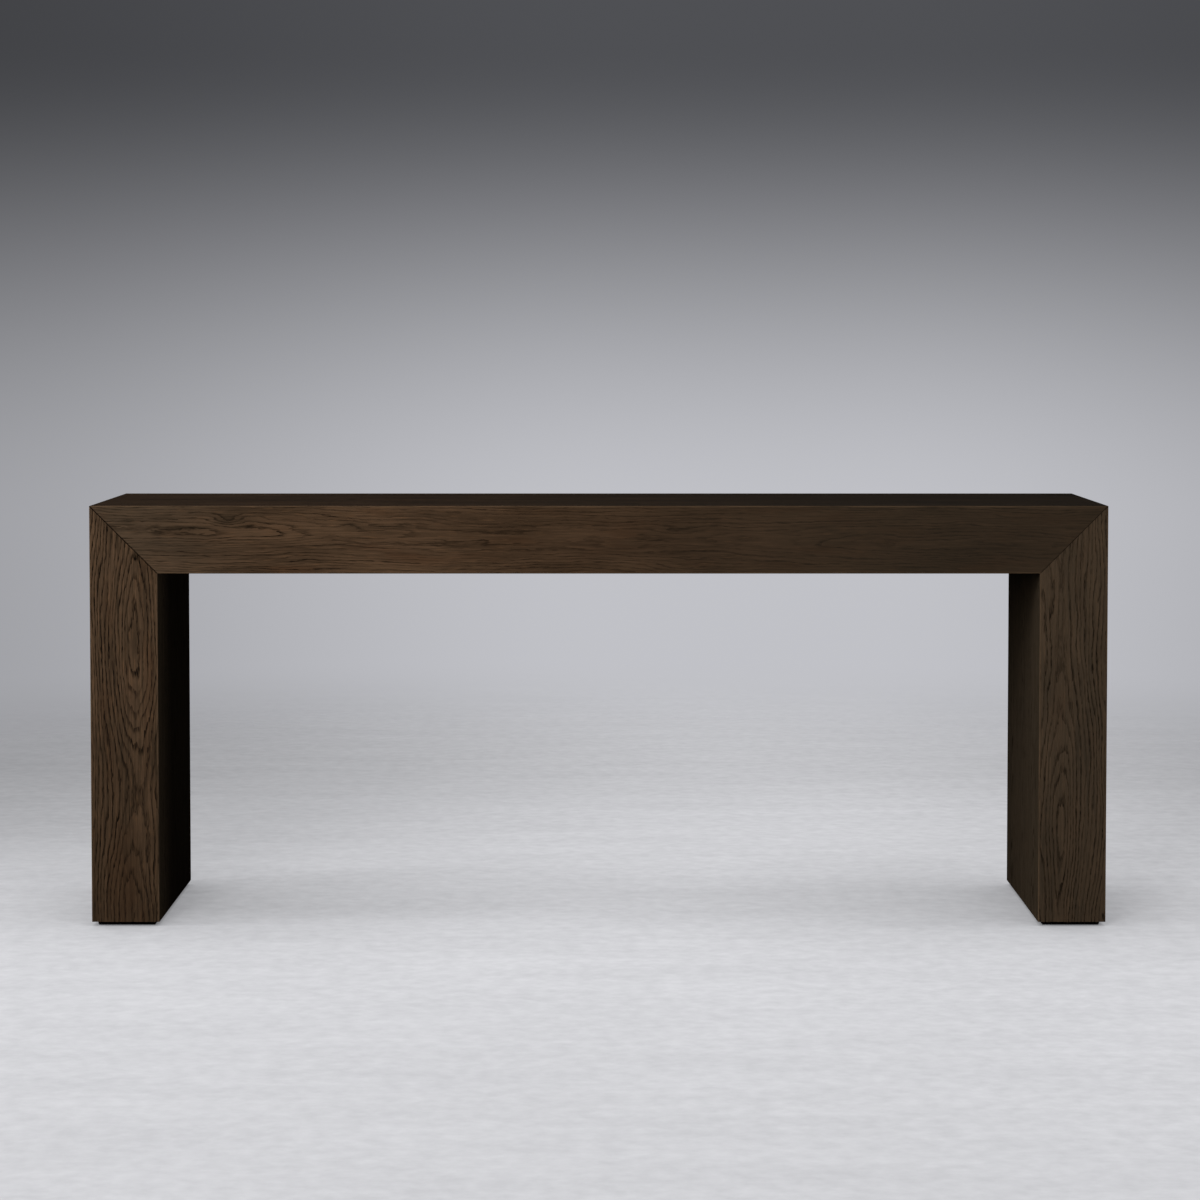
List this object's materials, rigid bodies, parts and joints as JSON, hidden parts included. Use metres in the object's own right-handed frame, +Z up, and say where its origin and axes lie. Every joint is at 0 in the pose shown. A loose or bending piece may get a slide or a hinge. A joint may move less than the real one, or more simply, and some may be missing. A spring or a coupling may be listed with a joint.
{
  "type": "waterfall hallway table",
  "caption": "Long narrow waterfall console table: a thick boxed top mitred into slab legs of the same section, dark oak veneer, on recessed black feet.",
  "frame": {"origin": "on the floor, under the middle of the top", "axes": "+X along the table's length, -Y out of its front, +Z up"},
  "size_m": [1.8, 0.4, 0.748],
  "materials": {
    "smoked_oak_veneer": "matte oil",
    "birch_plywood": "bare",
    "pine": "bare",
    "beech": "bare",
    "zinc_plated_steel": "zinc plated",
    "black_lacquered_wood": "black lacquer, matte",
    "black_felt": "pressed felt"
  },
  "bodies": {
    "root": {"top_panel": "smoked_oak_veneer", "top_soffit_panel": "smoked_oak_veneer", "top_front_panel": "smoked_oak_veneer", "top_back_panel": "smoked_oak_veneer", "top_left_bulkhead": "birch_plywood", "top_right_bulkhead": "birch_plywood", "top_corner_battens": "pine", "top_ribs": "birch_plywood", "left_leg_outer_panel": "smoked_oak_veneer", "left_leg_inner_panel": "smoked_oak_veneer", "left_leg_front_panel": "smoked_oak_veneer", "left_leg_back_panel": "smoked_oak_veneer", "left_leg_bulkhead": "birch_plywood", "left_leg_corner_battens": "pine", "left_leg_ribs": "birch_plywood", "left_leg_base_board": "birch_plywood", "left_foot_plinth": "black_lacquered_wood", "left_foot_felt": "black_felt", "left_plinth_screws": "zinc_plated_steel", "left_mitre_tongues": "birch_plywood", "left_corner_dowels": "beech", "left_corner_bolts": "zinc_plated_steel", "left_corner_washers": "zinc_plated_steel", "left_corner_tee_nuts": "zinc_plated_steel", "right_leg_outer_panel": "smoked_oak_veneer", "right_leg_inner_panel": "smoked_oak_veneer", "right_leg_front_panel": "smoked_oak_veneer", "right_leg_back_panel": "smoked_oak_veneer", "right_leg_bulkhead": "birch_plywood", "right_leg_corner_battens": "pine", "right_leg_ribs": "birch_plywood", "right_leg_base_board": "birch_plywood", "right_foot_plinth": "black_lacquered_wood", "right_foot_felt": "black_felt", "right_plinth_screws": "zinc_plated_steel", "right_mitre_tongues": "birch_plywood", "right_corner_dowels": "beech", "right_corner_bolts": "zinc_plated_steel", "right_corner_washers": "zinc_plated_steel", "right_corner_tee_nuts": "zinc_plated_steel"}
  },
  "joints": []
}
